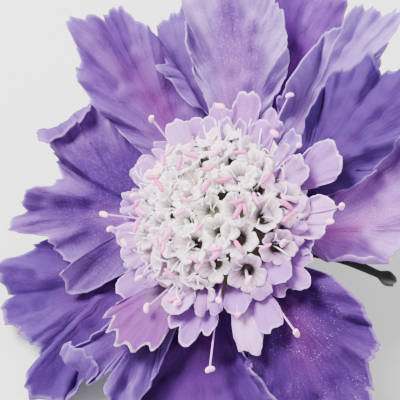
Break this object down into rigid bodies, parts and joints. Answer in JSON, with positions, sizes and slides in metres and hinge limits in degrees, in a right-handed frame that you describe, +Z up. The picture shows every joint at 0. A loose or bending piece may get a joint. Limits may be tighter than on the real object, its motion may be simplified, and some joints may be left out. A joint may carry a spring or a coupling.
{
  "type": "scabiosa flower",
  "caption": "Cut scabiosa bloom lying on a surface: ruffled violet ray petals in layers round a pale domed disc of small florets, narrow green bracts and a bent slender stem.",
  "frame": {"origin": "middle of the bounding box at the surface that the flower lies on", "axes": "+Z up from the surface, +Y from the flower head along the stem to its cut end, +X to the right of the head seen from its face"},
  "size_m": [0.0713, 0.1489, 0.0438],
  "materials": {
    "petal": "soft, velvety and slightly translucent, with paler margins and fine darker veins",
    "disc": "soft cream to pale lilac, with greenish throats and pink anthers",
    "stem": "matte green, finely ribbed and hairy, darker on the bracts"
  },
  "bodies": {
    "root": {"petal_01_right": "petal", "petal_02_upper_right": "petal", "petal_03_top_right": "petal", "petal_04_top": "petal", "petal_05_top_fan": "petal", "petal_06_top_left_small": "petal", "petal_07_upper_left": "petal", "petal_08_left": "petal", "petal_09_lower_left": "petal", "petal_10_bottom_small": "petal", "petal_11_bottom": "petal", "petal_12_lower_right": "petal", "disc_florets": "disc", "stem_cup_bracts": "stem"}
  },
  "joints": []
}
